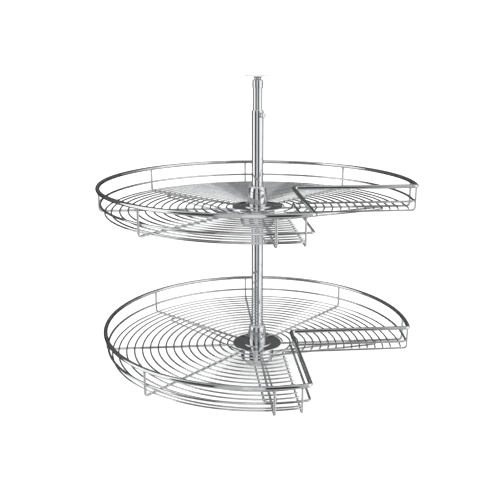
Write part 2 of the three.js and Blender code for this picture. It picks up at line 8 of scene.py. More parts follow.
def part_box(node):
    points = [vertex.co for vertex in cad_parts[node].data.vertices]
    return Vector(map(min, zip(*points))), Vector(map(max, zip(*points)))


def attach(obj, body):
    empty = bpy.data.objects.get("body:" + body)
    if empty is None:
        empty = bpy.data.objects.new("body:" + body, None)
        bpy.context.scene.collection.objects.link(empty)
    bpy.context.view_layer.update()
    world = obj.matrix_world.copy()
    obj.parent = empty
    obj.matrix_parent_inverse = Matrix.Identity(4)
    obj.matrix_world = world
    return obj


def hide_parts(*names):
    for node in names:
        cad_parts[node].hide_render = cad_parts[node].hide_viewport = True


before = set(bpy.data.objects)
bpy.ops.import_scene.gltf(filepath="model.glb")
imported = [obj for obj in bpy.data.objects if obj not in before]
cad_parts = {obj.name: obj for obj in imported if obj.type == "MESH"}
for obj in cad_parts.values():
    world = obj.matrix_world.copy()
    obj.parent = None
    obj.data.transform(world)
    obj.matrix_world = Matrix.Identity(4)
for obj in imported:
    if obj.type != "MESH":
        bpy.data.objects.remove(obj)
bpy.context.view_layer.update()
print("frame loaded:", len(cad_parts), "nodes")

# Sizes are in millimetres until they go into a mesh or a material. The column stands on the Z
# axis, the open quarter of the baskets faces +X and -Y, and a basket's heights count from the
# middle of its floor wires.
mm = 0.001
up = Vector((0, 0, 1))
floorWire = 3.6  # diameter of the wires that the baskets' floors are wound from
screwAzimuth = radians(300)  # clamp screws and thumb screw face this way
overcut = 2  # how far a cutter stands out of what it cuts


def heights(node):  # bottom and top of one of the frame's nodes
    return [corner.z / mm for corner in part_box(node)]


# height of each basket's floor wires
tiers = {tier: heights(tier + "_floor_grid")[1] - floorWire / 2 for tier in ("lower", "upper")}


# Materials

white = (1, 1, 1, 1)


def linear(hexColour):  # sRGB hex to the linear colour that shaders take
    channels = [int(hexColour[i:i + 2], 16) / 255 for i in (1, 3, 5)]
    return [c / 12.92 if c <= 0.04045 else ((c + 0.055) / 1.055) ** 2.4 for c in channels] + [1]


def addNode(tree, kind, inputs={}):
    node = tree.nodes.new(kind)
    for name, value in inputs.items():
        if isinstance(value, bpy.types.NodeSocket):
            tree.links.new(value, node.inputs[name])
        else:
            node.inputs[name].default_value = value
    return node


def newMaterial(name):
    material = bpy.data.materials.new(name)
    material.use_nodes = True
    material.node_tree.nodes.clear()
    return material, material.node_tree


# What differs between the surfaces of this fitting: cloud is the size of the slow change in tone,
# grain that of the fine one, stretch how much longer the grain runs along X, Y and Z than it is
# wide. The real grain is mostly finer than a tenth of a millimetre, so it is drawn as coarse as
# it needs to be to show.
finishes = {
    # bright nickel-chrome plate on drawn and welded steel wire: mirror bright, very slightly wavy
    "chromePlatedWire": {"light": "#e4e5e6", "dark": "#d3d5d7", "metallic": 1, "rough": (0.04, 0.09),
                         "cloud": 34, "grain": 1.6, "stretch": (1, 1, 1), "bump": 0.003},
    # the same plate on ground and polished tube: straighter and glossier, faint marks round it
    "chromePlatedTube": {"light": "#e7e8e9", "dark": "#d7d9db", "metallic": 1, "rough": (0.025, 0.05),
                         "cloud": 60, "grain": 1.2, "stretch": (12, 12, 1), "bump": 0.0006},
    # the plate over weld nuggets: duller, because the melted steel under it is rough
    "chromePlatedWeld": {"light": "#d3d4d5", "dark": "#b2b3b5", "metallic": 1, "rough": (0.16, 0.3),
                         "cloud": 5, "grain": 0.9, "stretch": (1, 1, 1), "bump": 0.06},
    # the plate over bead-blasted steel: its pitted skin scatters part of the light as paint does
    "satinChromedSteel": {"light": "#eceded", "dark": "#dedfe0", "metallic": 0.6, "rough": (0.34, 0.46),
                          "cloud": 9, "grain": 0.7, "stretch": (1, 1, 1), "bump": 0.02},
    # the plate over steel as it left the lathe: greyer, with fine marks round the piece
    "chromedTurnedSteel": {"light": "#c6c8ca", "dark": "#b0b2b5", "metallic": 1, "rough": (0.1, 0.2),
                           "cloud": 6, "grain": 0.6, "stretch": (8, 8, 1), "bump": 0.01},
    # zinc plate on turned steel: greyer and silkier than chrome, with turning marks
    "zincPlatedSteel": {"light": "#bfc2c6", "dark": "#a4a8ad", "metallic": 1, "rough": (0.24, 0.38),
                        "cloud": 7, "grain": 0.8, "stretch": (6, 6, 1), "bump": 0.03},
    # natural polyamide, injection moulded: off-white, satin, with a fine spark-eroded skin
    "mouldedNylon": {"light": "#e3e3e2", "dark": "#d6d6d5", "metallic": 0, "rough": (0.38, 0.52),
                     "cloud": 18, "grain": 0.9, "stretch": (1, 1, 1), "bump": 0.05},
}
# How the two noises are read: the band is the part of a noise's values that is spread over the
# whole way from dark to light, or from smooth to rough.
noises = {"cloud": {"detail": 3, "roughness": 0.55, "band": (0.35, 0.65)},
          "grain": {"detail": 4, "roughness": 0.6, "band": (0.3, 0.7)}}


def surfaceMaterial(name):
    look, cloudy, grainy = finishes[name], noises["cloud"], noises["grain"]
    material, tree = newMaterial(name)
    objectSpace = addNode(tree, "ShaderNodeTexCoord").outputs["Object"]
    squash = [1 / s for s in look["stretch"]]
    drawn = addNode(tree, "ShaderNodeMapping", {"Vector": objectSpace, "Scale": squash}).outputs[0]
    cloud = addNode(tree, "ShaderNodeTexNoise", {
        "Vector": objectSpace, "Scale": 1 / (look["cloud"] * mm),
        "Detail": cloudy["detail"], "Roughness": cloudy["roughness"]})
    grain = addNode(tree, "ShaderNodeTexNoise", {
        "Vector": drawn, "Scale": 1 / (look["grain"] * mm),
        "Detail": grainy["detail"], "Roughness": grainy["roughness"]})
    tone = addNode(tree, "ShaderNodeMapRange", {
        "Value": cloud.outputs[0], "From Min": cloudy["band"][0], "From Max": cloudy["band"][1]})
    colour = addNode(tree, "ShaderNodeMixRGB", {
        "Fac": tone.outputs[0], "Color1": linear(look["dark"]), "Color2": linear(look["light"])})
    rough = addNode(tree, "ShaderNodeMapRange", {
        "Value": grain.outputs[0], "From Min": grainy["band"][0], "From Max": grainy["band"][1],
        "To Min": look["rough"][0], "To Max": look["rough"][1]})
    bump = addNode(tree, "ShaderNodeBump", {
        "Height": grain.outputs[0], "Strength": 1, "Distance": look["bump"] * mm})
    shader = addNode(tree, "ShaderNodeBsdfPrincipled", {
        "Base Color": colour.outputs[0], "Metallic": look["metallic"],
        "Roughness": rough.outputs[0], "Normal": bump.outputs[0]})
    addNode(tree, "ShaderNodeOutputMaterial", {"Surface": shader.outputs[0]})
    return material


materials = {name: surfaceMaterial(name) for name in finishes}
print("materials made:", ", ".join(materials))


# Making meshes

# Distances are in metres and angles in degrees. A wire's deburred ends are endLength of its
# diameter long and narrow it to endWidth of its diameter.
meshing = {"weldDistance": 1e-6, "tooShort": 1e-7, "turnedSides": 96, "turnedEdge": 28,
           "bevelSteps": 3, "wireSteps": 14, "wireEdge": 50, "endLength": 0.2, "endWidth": 0.6}


def finishPiece(name, bm, body, slot, material, *nodes, hardEdge=32):
    # smooths all but the edges that turn by more than hardEdge degrees
    bmesh.ops.remove_doubles(bm, verts=bm.verts, dist=meshing["weldDistance"])
    bmesh.ops.recalc_face_normals(bm, faces=bm.faces)
    mesh = bpy.data.meshes.new(name)
    bm.to_mesh(mesh)
    bm.free()
    mesh.shade_smooth()
    mesh.set_sharp_from_angle(angle=radians(hardEdge))
    mesh.materials.append(materials[material])
    piece = bpy.data.objects.new(name, mesh)
    bpy.context.scene.collection.objects.link(piece)
    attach(piece, body)
    if nodes:
        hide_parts(*nodes)


def bend(centre, arm, axis, angle):
    # stations of a round bend, at most 45 degrees apart: place and the handles either side
    count = max(1, ceil(abs(angle) / radians(45) - 1e-6))
    reach = 4 / 3 * tan(angle / count / 4)
    stations = []
    for i in range(count + 1):
        turned = Matrix.Rotation(angle * i / count, 3, axis) @ arm
        handle = axis.cross(turned) * reach
        stations.append([centre + turned, handle if i else None, handle if i < count else None])
    return stations


def cutEnd(station, neighbour, diameter, atStart):
    # a deburred wire end: its last stretch narrows
    inwards = (neighbour[0] - station[0]).normalized() * diameter * meshing["endLength"]
    end = [station[0], None, None]
    if atStart:
        return [end, [station[0] + inwards, None, station[2]]]
    return [[station[0] + inwards, station[1], None], end]


def addRoute(curve, stations, closed, diameter):
    spline = curve.splines.new("BEZIER")
    spline.resolution_u = meshing["wireSteps"]
    spline.use_cyclic_u = closed
    radii = [1] * len(stations)
    if not closed:
        head = cutEnd(stations[0], stations[1], diameter, True)
        tail = cutEnd(stations[-1], stations[-2], diameter, False)
        stations = head + stations[1:-1] + tail
        radii = [meshing["endWidth"]] + [1] * (len(stations) - 2) + [meshing["endWidth"]]
    spline.bezier_points.add(len(stations) - 1)
    for knot, (spot, before, after), radius in zip(spline.bezier_points, stations, radii):
        knot.co = spot * mm
        knot.radius = radius
        knot.handle_left_type = "VECTOR" if before is None else "FREE"
        knot.handle_right_type = "VECTOR" if after is None else "FREE"
        if before is not None:
            knot.handle_left = (spot - before) * mm
        if after is not None:
            knot.handle_right = (spot + after) * mm


def addWire(name, routes, wire, sides, body, node, closed=False):
    curve = bpy.data.curves.new(name, "CURVE")
    curve.dimensions = "3D"
    curve.bevel_depth = wire / 2 * mm
    curve.bevel_resolution = (sides - 4) // 2
    curve.use_fill_caps = True
    for route in routes:
        addRoute(curve, route, closed, wire)
    holder = bpy.data.objects.new(name, curve)
    bpy.context.scene.collection.objects.link(holder)
    bpy.context.view_layer.update()
    evaluated = holder.evaluated_get(bpy.context.evaluated_depsgraph_get())
    drawn = bpy.data.meshes.new_from_object(evaluated)
    bm = bmesh.new()
    bm.from_mesh(drawn)
    bpy.data.objects.remove(holder)
    bpy.data.curves.remove(curve)
    bpy.data.meshes.remove(drawn)
    finishPiece(name, bm, body, "chrome", "chromePlatedWire", node, hardEdge=meshing["wireEdge"])


def bentRoute(corners, radius):
    # a wire through corner points, every corner bent to the same radius
    route = [[corners[0], None, None]]
    for before, corner, after in zip(corners, corners[1:], corners[2:]):
        arriving = (corner - before).normalized()
        leaving = (after - corner).normalized()
        turn = arriving.angle(leaving)
        axis = arriving.cross(leaving).normalized()
        start = corner - arriving * radius * tan(turn / 2)
        centre = start + axis.cross(arriving) * radius
        route += bend(centre, start - centre, axis, turn)
    return route + [[corners[-1], None, None]]


def bevelEdges(bm, leastAngle, width):
    edges = [e for e in bm.edges if len(e.link_faces) == 2 and e.calc_face_angle() > leastAngle]
    bmesh.ops.bevel(bm, geom=edges, offset=width * mm, offset_type="OFFSET",
                    segments=meshing["bevelSteps"], profile=0.5, affect="EDGES", material=-1,
                    clamp_overlap=True)


def turnedMesh(profile, rounding, sides=meshing["turnedSides"], floor=0):
    # a profile of (radius, height over the floor) turned about Z, its edges rounded
    bm = bmesh.new()
    corners = [bm.verts.new((radius * mm, 0, (floor + height) * mm)) for radius, height in profile]
    for start, end in zip(corners, corners[1:]):
        bm.edges.new((start, end))
    if profile[0][0] > 0:
        bm.edges.new((corners[-1], corners[0]))
    bmesh.ops.spin(bm, geom=bm.verts[:] + bm.edges[:], cent=(0, 0, 0), axis=(0, 0, 1),
                   angle=2 * pi, steps=sides, use_merge=True)
    bmesh.ops.remove_doubles(bm, verts=bm.verts, dist=meshing["weldDistance"])
    bmesh.ops.dissolve_degenerate(bm, edges=bm.edges, dist=meshing["tooShort"])
    bmesh.ops.recalc_face_normals(bm, faces=bm.faces)
    if rounding:
        bevelEdges(bm, radians(meshing["turnedEdge"]), rounding)
    return bm


def faceOutwards(bm, height):
    # what was modelled along Z now points away from the column at the screws' azimuth
    turn = Matrix.Rotation(screwAzimuth, 4, "Z") @ Matrix.Rotation(pi / 2, 4, "Y")
    matrix = Matrix.Translation((0, 0, height * mm)) @ turn
    bmesh.ops.transform(bm, matrix=matrix, verts=bm.verts)
    return bm


def carvedMesh(bm, cutter, name):
    # bm less the cutter
    pair = []
    for part in (bm, cutter):
        mesh = bpy.data.meshes.new(name)
        part.to_mesh(mesh)
        part.free()
        pair.append(bpy.data.objects.new(name, mesh))
        bpy.context.scene.collection.objects.link(pair[-1])
    carve = pair[0].modifiers.new("carve", "BOOLEAN")
    carve.operation = "DIFFERENCE"
    carve.solver = "EXACT"
    carve.object = pair[1]
    bpy.context.view_layer.update()
    evaluated = pair[0].evaluated_get(bpy.context.evaluated_depsgraph_get())
    made = bpy.data.meshes.new_from_object(evaluated)
    carved = bmesh.new()
    carved.from_mesh(made)
    for holder in pair:
        old = holder.data
        bpy.data.objects.remove(holder)
        bpy.data.meshes.remove(old)
    bpy.data.meshes.remove(made)
    return carved


def prism(sides, radius, bottom, top):
    bm = bmesh.new()
    made = bmesh.ops.create_cone(bm, cap_ends=True, segments=sides, radius1=radius * mm,
                                 radius2=radius * mm, depth=(top - bottom) * mm)
    bmesh.ops.translate(bm, verts=made["verts"], vec=(0, 0, (top + bottom) / 2 * mm))
    return bm


# Basket: rim and mid rail

notchOffset = 75  # from the column to the straight sides of the open quarter
rim = {"radius": 375, "wire": 9.5, "height": 56.8, "corner": 9, "innerCorner": 10, "sides": 24}
midRail = {"radius": 370.35, "wire": 5.2, "height": 20.8, "corner": 7, "innerCorner": 7, "sides": 16}


def loopRoute(loop, floor):
    # three quarters round the outside, then in and out again along the open quarter
    radius, corner, inner = loop["radius"], loop["corner"], loop["innerCorner"]
    side = notchOffset - corner
    reach = sqrt((radius - corner) ** 2 - side ** 2)
    lean = asin(side / (radius - corner))
    offset = notchOffset + inner

    def at(x, y):
        return Vector((x, y, floor + loop["height"]))

    startArm = Vector((radius * cos(lean), -radius * sin(lean), 0))
    frontArm = Vector((side, -reach, 0)).normalized() * corner
    arc = bend(at(0, 0), startArm, up, 1.5 * pi + 2 * lean)
    frontCorner = bend(at(side, -reach), frontArm, up, pi / 2 - lean)
    innerCorner = bend(at(offset, -offset), Vector((-inner, 0, 0)), up, -pi / 2)
    sideCorner = bend(at(reach, -side), Vector((0, -corner, 0)), up, pi / 2 - lean)
    arc[-1][2] = frontCorner[0][2]
    arc[0][1] = sideCorner[-1][1]
    return arc + frontCorner[1:] + innerCorner + sideCorner[:-1]


def addLoops(tier, floor):
    for part, loop, node in (("RimWire", rim, "_rim"), ("MidRailWire", midRail, "_mid_rail")):
        addWire(tier + part, [loopRoute(loop, floor)], loop["wire"], loop["sides"],
                tier + "_basket", tier + node, closed=True)


# Basket: the spiral floor wire and its edge ring, both cut off at the open quarter

spiral = {"start": 65.3, "end": 353.3, "turns": 14.875, "edgeRing": 361, "cut": 61.5, "sides": 12}


def spiralRadius(turn):
    return spiral["start"] + (spiral["end"] - spiral["start"]) * turn / spiral["turns"]


def crossing(whole, side, offset):
    # the turn at which the spiral enters or leaves the open quarter before that whole turn, with
    # the quarter's sides that far from the column
    turn = whole
    for _ in range(6):  # each round comes closer, and six are plenty
        lean = asin(offset / spiralRadius(turn)) / (2 * pi)
        turn = whole - lean if side == "leaving" else whole - 1 / 4 + lean
    return turn


def spiralPieces():
    # from and to turn of each piece of floor wire left when the open quarter is cut out, whose
    # middle is an eighth of a turn before each whole turn
    wholes = [n for n in range(1, ceil(spiral["turns"]) + 1)
              if spiralRadius(n - 1 / 8) > spiral["cut"] * sqrt(2)]
    starts = [0] + [crossing(n, "leaving", spiral["cut"]) for n in wholes[:-1]]
    return list(zip(starts, [crossing(n, "entering", spiral["cut"]) for n in wholes]))


def spiralRoute(fromTurn, toTurn, floor):
    count = ceil((toTurn - fromTurn) * 8)  # stations are up to an eighth of a turn apart
    step = 2 * pi * (toTurn - fromTurn) / count
    slope = (spiral["end"] - spiral["start"]) / spiral["turns"] / (2 * pi)
    stations = []
    for i in range(count + 1):
        angle = 2 * pi * fromTurn + step * i
        outwards = Vector((cos(angle), sin(angle), 0))
        radius = spiralRadius(angle / (2 * pi))
        handle = (outwards * slope + up.cross(outwards) * radius) * 4 / 3 * tan(step / 4)
        stations.append([outwards * radius + up * floor, handle if i else None,
                         handle if i < count else None])
    return stations


def edgeRingRoute(floor):
    radius = spiral["edgeRing"]
    lean = asin(spiral["cut"] / radius)
    startArm = Vector((radius * cos(lean), -radius * sin(lean), 0))
    return bend(Vector((0, 0, floor)), startArm, up, 1.5 * pi + 2 * lean)


def addFloorSpiral(tier, floor):
    pieces = [spiralRoute(start, end, floor) for start, end in spiralPieces()]
    addWire(tier + "FloorSpiral", [edgeRingRoute(floor)] + pieces, floorWire, spiral["sides"],
            tier + "_basket", tier + "_floor_grid")


# Basket: the wires under the floor, which are spokes bent up to the rim, one wire along the
# open quarter and hairpin braces that rise from the hub

spokes = {"wire": 5.5, "azimuths": range(0, 271, 45), "innerRadius": 30, "uprightRadius": 376,
          "bend": 8, "separateUpright": 135, "intoRim": 0.9, "sides": 14}
spokeLevel = -(floorWire + spokes["wire"]) / 2
uprightTop = rim["height"] - rim["wire"] / 2 + spokes["intoRim"]


def addSpokes(tier, floor):
    level = floor + spokeLevel
    for degreesRound in spokes["azimuths"]:
        turn = Matrix.Rotation(radians(degreesRound), 3, "Z")
        corners = [turn @ Vector(spot) for spot in (
            (spokes["innerRadius"], 0, level),
            (spokes["uprightRadius"], 0, level),
            (spokes["uprightRadius"], 0, floor + uprightTop))]
        kind = "upright" if degreesRound == spokes["separateUpright"] else "spoke"
        addWire(f"{tier}Spoke{degreesRound}", [bentRoute(corners, spokes["bend"])], spokes["wire"],
                spokes["sides"], tier + "_basket", f"{tier}_{kind}_{degreesRound}")


notchWire = {"wire": 4.5, "offset": 57, "sides": 12}


def addNotchWire(tier, floor):
    offset = notchWire["offset"]
    reach = sqrt(spokes["uprightRadius"] ** 2 - offset ** 2)
    under = floor - (floorWire + notchWire["wire"]) / 2
    corners = [Vector(spot) for spot in (
        (offset, -reach, floor + uprightTop), (offset, -reach, under), (offset, -offset, under),
        (reach, -offset, under), (reach, -offset, floor + uprightTop))]
    addWire(tier + "NotchWire", [bentRoute(corners, spokes["bend"])], notchWire["wire"],
            notchWire["sides"], tier + "_basket", tier + "_notch_wire")


braces = {"wire": 4.5, "azimuths": (0, 135, 270), "reach": 308, "spread": 26, "hubRadius": 41.5,
          "hubDepth": 31.5, "intoHub": 3, "sides": 12}


def braceLevel(radius, floor):
    top = spokeLevel - (spokes["wire"] + braces["wire"]) / 2
    fall = (braces["hubDepth"] + top) / (braces["reach"] - braces["hubRadius"])
    return floor + top - (braces["reach"] - radius) * fall


def addBraces(tier, floor):
    half = braces["spread"] / 2
    legStart, legEnd = braces["hubRadius"] - braces["intoHub"], braces["reach"] - half
    rise = (braceLevel(legEnd, floor) - braceLevel(0, floor)) / legEnd
    slope = Vector((1, 0, rise)).normalized()
    across = Vector((0, 1, 0))
    centre = Vector((legEnd, 0, braceLevel(legEnd, floor)))
    for degreesRound in braces["azimuths"]:
        hairpin = bend(centre, across * -half, slope.cross(across), pi)
        ends = [Vector((legStart, side, braceLevel(legStart, floor))) for side in (-half, half)]
        route = [[ends[0], None, None]] + hairpin + [[ends[1], None, None]]
        turn = Matrix.Rotation(radians(degreesRound), 3, "Z")
        route = [[part and turn @ part for part in station] for station in route]
        addWire(f"{tier}Brace{degreesRound}", [route], braces["wire"], braces["sides"],
                tier + "_basket", f"{tier}_brace_{degreesRound}")


# Basket: weld nuggets, as half lengths outwards, across and up

welds = {"ring": (2.7, 2.2, 1.1), "notchRing": (2.4, 1.9, 1.0), "rail": (1.5, 2.4, 2.6),
         "rim": (3.5, 3.5, 1.3), "hub": (3.2, 2.6, 1.2), "hubRadius": 39, "cornerOutset": 2.4,
         "rimInset": 0.5, "hardEdge": 80}


def addNugget(bm, size, spot, azimuth):
    made = bmesh.ops.create_icosphere(bm, subdivisions=2, radius=1)
    shape = Matrix.Diagonal([s * mm for s in size] + [1])
    matrix = Matrix.Translation(spot * mm) @ Matrix.Rotation(azimuth, 4, "Z") @ shape
    bmesh.ops.transform(bm, matrix=matrix, verts=made["verts"])


def addWelds(tier, floor):
    bm = bmesh.new()

    def polar(radius, azimuth, height):
        return Vector((radius * cos(azimuth), radius * sin(azimuth), floor + height))

    seat = -floorWire / 2
    for degreesRound in spokes["azimuths"]:
        azimuth = radians(degreesRound)
        radii = [spiralRadius(n + degreesRound / 360) for n in range(ceil(spiral["turns"]))]
        for radius in radii + [spiral["edgeRing"]]:
            addNugget(bm, welds["ring"], polar(radius, azimuth, seat), azimuth)
        hubSpot = polar(welds["hubRadius"], azimuth, spokeLevel - spokes["wire"] / 2)
        addNugget(bm, welds["hub"], hubSpot, azimuth)

    offset = notchWire["offset"]
    turns = []
    for start, end in spiralPieces():
        turns += [crossing(round(start), "leaving", offset), crossing(ceil(end), "entering", offset)]
    # the spiral itself starts past the first of these
    crossings = [(spiralRadius(n), 2 * pi * n) for n in turns[1:]]
    lean = asin(offset / spiral["edgeRing"])
    crossings += [(spiral["edgeRing"], -lean), (spiral["edgeRing"], 1.5 * pi + lean)]
    for radius, azimuth in crossings:
        addNugget(bm, welds["notchRing"], polar(radius, azimuth, seat), 0)
    corner = polar(offset * sqrt(2) + welds["cornerOutset"], -pi / 4, seat)
    addNugget(bm, welds["notchRing"], corner, pi / 4)

    outer = spokes["uprightRadius"]
    notchAzimuth = asin(offset / outer)
    uprights = [radians(a) for a in spokes["azimuths"]] + [-notchAzimuth, 1.5 * pi + notchAzimuth]
    railSide = midRail["radius"] + midRail["wire"] / 2
    rimUnderside = rim["height"] - rim["wire"] / 2
    for azimuth in uprights:
        addNugget(bm, welds["rail"], polar(railSide, azimuth, midRail["height"]), azimuth)
        addNugget(bm, welds["rim"], polar(outer - welds["rimInset"], azimuth, rimUnderside), azimuth)
    finishPiece(tier + "Welds", bm, tier + "_basket", "chrome", "chromePlatedWeld",
                hardEdge=welds["hardEdge"])


# Basket: hub

hubCup = {"radius": 41.5, "lip": 42.5, "lipWidth": 7, "wall": 2.3, "depth": 46, "shoulder": 26,
          "bottomRadius": 31, "shoulderSteps": 10, "bore": 14.4, "sleeve": 17.7, "sleeveTop": -1.1,
          "rounding": 0.5}


def addHubCup(tier, floor):
    top = spokeLevel - spokes["wire"] / 2
    radius, depth, wall, lip = hubCup["radius"], hubCup["depth"], hubCup["wall"], hubCup["lip"]
    underLip, bottom, steps = top - wall, wall - depth, hubCup["shoulderSteps"]
    outer = []
    for t in (i / steps for i in range(steps + 1)):  # the pressed shoulder from wall to bottom
        outer.append((radius - (radius - hubCup["bottomRadius"]) * t * t,
                      -hubCup["shoulder"] - (depth - hubCup["shoulder"]) * (2 * t - t * t)))
    inner = [(r - wall, max(height, bottom)) for r, height in outer]
    profile = [(hubCup["bore"], -depth)] + outer[::-1] + [
        (radius, underLip), (lip, underLip), (lip, top),
        (lip - hubCup["lipWidth"], top), (lip - hubCup["lipWidth"], underLip)] + inner + [
        (hubCup["sleeve"], bottom), (hubCup["sleeve"], hubCup["sleeveTop"]),
        (hubCup["bore"], hubCup["sleeveTop"])]
    bm = turnedMesh(profile, hubCup["rounding"], floor=floor)
    finishPiece(tier + "HubCupShell", bm, tier + "_basket", "chrome", "chromePlatedTube",
                tier + "_hub_cup")


hubDisc = {"radius": 60.6, "top": 1.8, "thickness": 2.6, "boss": 37, "bossHeight": 2.5, "bore": 14.4,
           "rounding": 0.7, "sides": 128}


def addHubDisc(tier, floor):
    top, bottom = hubDisc["top"], hubDisc["top"] - hubDisc["thickness"]
    bossTop = top + hubDisc["bossHeight"]
    profile = [(hubDisc["bore"], bottom), (hubDisc["radius"], bottom), (hubDisc["radius"], top),
               (hubDisc["boss"], top), (hubDisc["boss"], bossTop), (hubDisc["bore"], bossTop)]
    bm = turnedMesh(profile, hubDisc["rounding"], hubDisc["sides"], floor)
    finishPiece(tier + "HubDiscPlate", bm, tier + "_basket", "chrome", "chromePlatedTube",
                tier + "_hub_disc")


hubCollar = {"bottom": 4.4, "top": 50, "base": 23.6, "shoulder": 23, "shoulderHeight": 33,
             "topRadius": 19.4, "edge": 3, "edgeSteps": 6, "bore": 14.2, "wallSteps": 16,
             "rounding": 0.2, "seam": 0.05}
clampScrew = {"radius": 4, "height": 29, "tip": 14.3, "proud": 0.6, "socket": 1.9, "socketDepth": 2.2,
              "rounding": 0.5, "sides": 48, "clearance": 0.15, "holeLength": 30}


def bowed(start, pull, end, steps):
    # points of a profile that leaves its start towards the pull and bows over to its end
    return [tuple((1 - t) ** 2 * a + 2 * t * (1 - t) * b + t * t * c
                  for a, b, c in zip(start, pull, end))
            for t in (i / steps for i in range(steps + 1))]


def collarWall():
    return bowed((hubCollar["base"], hubCollar["bottom"]),
                 (hubCollar["shoulder"], hubCollar["shoulderHeight"]),
                 (hubCollar["topRadius"], hubCollar["top"] - hubCollar["edge"]), hubCollar["wallSteps"])


def addHubCollar(tier, floor):
    body, node = tier + "_basket", tier + "_hub_collar"
    bore, top, radius = hubCollar["bore"], hubCollar["top"], hubCollar["topRadius"]
    edge, rounding = hubCollar["edge"], hubCollar["rounding"]
    profile = [(bore, hubCollar["bottom"])] + collarWall() + [(bore, top - edge)]
    hole = prism(clampScrew["sides"], clampScrew["radius"] + clampScrew["clearance"], 0,
                 clampScrew["holeLength"])
    hole = faceOutwards(hole, floor + clampScrew["height"])
    bm = carvedMesh(turnedMesh(profile, rounding, floor=floor), hole, "collar")
    finishPiece(tier + "HubCollarCone", bm, body, "chrome", "chromePlatedTube", node)

    # the rounded upper edge is blasted, so it shows as a pale ring round the column
    low = top - edge + hubCollar["seam"]
    turns = [pi / 2 * i / hubCollar["edgeSteps"] for i in range(1, hubCollar["edgeSteps"] + 1)]
    profile = [(bore, low), (radius, low), (radius, top - edge / 2)] + [
        (radius - edge * (1 - cos(a)), top - edge / 2 * (1 - sin(a))) for a in turns] + [(bore, top)]
    finishPiece(tier + "HubCollarEdge", turnedMesh(profile, rounding, floor=floor), body, "chrome",
                "satinChromedSteel", node)


def addClampScrew(tier, floor):
    radius, rounding, sides = clampScrew["radius"], clampScrew["rounding"], clampScrew["sides"]
    face = min((abs(height - clampScrew["height"]), wall) for wall, height in collarWall())[1]
    end = face + clampScrew["proud"]
    profile = [(0, clampScrew["tip"]), (radius, clampScrew["tip"]), (radius, end), (0, end)]
    hexagon = prism(6, clampScrew["socket"], face - clampScrew["socketDepth"], face + overcut)
    bm = carvedMesh(turnedMesh(profile, rounding, sides), hexagon, "clampScrew")
    bm = faceOutwards(bm, floor + clampScrew["height"])
    finishPiece(tier + "ClampScrewBody", bm, tier + "_basket", "zinc_steel", "zincPlatedSteel",
                tier + "_clamp_screw")


for tier, floor in tiers.items():
    for addPart in (addLoops, addFloorSpiral, addSpokes, addNotchWire, addBraces, addWelds,
                    addHubCup, addHubDisc, addHubCollar, addClampScrew):
        addPart(tier, floor)
    print(tier, "basket made")


# Column, with the thumb screw at its top

tubeBottom, tubeTop = heights("outer_tube")
thumbScrew = {"drop": 10, "tip": 11.3, "shank": 3, "start": 17, "length": 9.5, "head": 6.5,
              "underEdge": 1.2, "underHeight": 2, "edge": 2.3, "crown": 0.75, "rounding": 0.6,
              "sides": 64, "socket": 1.7, "socketDepth": 5.5}
thumbHole = {"clearance": 0.25, "start": 5, "end": 17, "sides": 48}
thumbHeight = tubeTop - thumbScrew["drop"]


def thumbScrewHole():
    radius = thumbScrew["shank"] + thumbHole["clearance"]
    return faceOutwards(prism(thumbHole["sides"], radius, thumbHole["start"], thumbHole["end"]),
                        thumbHeight)


outerTube = {"radius": 14, "bore": 12.5, "rounding": 0.5}
bm = turnedMesh([(outerTube["bore"], tubeBottom), (outerTube["radius"], tubeBottom),
                 (outerTube["radius"], tubeTop), (outerTube["bore"], tubeTop)], outerTube["rounding"])
finishPiece("outerTubeSkin", carvedMesh(bm, thumbScrewHole(), "outerTube"), "column", "chrome",
            "chromePlatedTube", "outer_tube")

guideBush = {"radius": 13.2, "bore": 11.3, "seat": 0.15, "lip": 0.5, "body": 12.1, "depth": 30,
             "rounding": 0.15}
lipBottom, bushBottom = tubeTop + guideBush["seat"], tubeTop - guideBush["depth"]
lipTop = lipBottom + guideBush["lip"]
bm = turnedMesh([(guideBush["bore"], bushBottom), (guideBush["body"], bushBottom),
                 (guideBush["body"], lipBottom), (guideBush["radius"], lipBottom),
                 (guideBush["radius"], lipTop), (guideBush["bore"], lipTop)], guideBush["rounding"])
finishPiece("guideBushRing", carvedMesh(bm, thumbScrewHole(), "guideBush"), "column", "white_nylon",
            "mouldedNylon", "guide_bush")

thumbNut = {"radius": 5.5, "sunk": 1, "end": 16.7, "rounding": 0.4, "sides": 64,
            "gap": 0.05, "saddleSides": 96, "saddleSpan": (-40, 20)}
nut = prism(thumbNut["sides"], thumbNut["radius"], outerTube["radius"] - thumbNut["sunk"],
            thumbNut["end"])
bevelEdges(nut, radians(meshing["turnedEdge"]), thumbNut["rounding"])
saddle = prism(thumbNut["saddleSides"], outerTube["radius"] + thumbNut["gap"],
               *(tubeTop + end for end in thumbNut["saddleSpan"]))  # its foot fits the round tube
nut = carvedMesh(faceOutwards(nut, thumbHeight), saddle, "nut")
finishPiece("thumbNutSaddle", carvedMesh(nut, thumbScrewHole(), "nut"), "column", "chrome",
            "chromePlatedTube", "thumb_nut")

shank, head, start = thumbScrew["shank"], thumbScrew["head"], thumbScrew["start"]
end, edge, crown = start + thumbScrew["length"], thumbScrew["edge"], thumbScrew["crown"]
bm = turnedMesh([(0, thumbScrew["tip"]), (shank, thumbScrew["tip"]), (shank, start),
                 (head - thumbScrew["underEdge"], start), (head, start + thumbScrew["underHeight"]),
                 (head, end - edge), (head - crown, end - crown), (head - edge, end), (0, end)],
                thumbScrew["rounding"], thumbScrew["sides"])
hexagon = prism(6, thumbScrew["socket"], end - thumbScrew["socketDepth"], end + overcut)
finishPiece("thumbScrewHead", faceOutwards(carvedMesh(bm, hexagon, "thumbScrew"), thumbHeight),
            "thumb_screw", "chrome", "chromePlatedTube", "thumb_screw")
print("column made")


# Mast

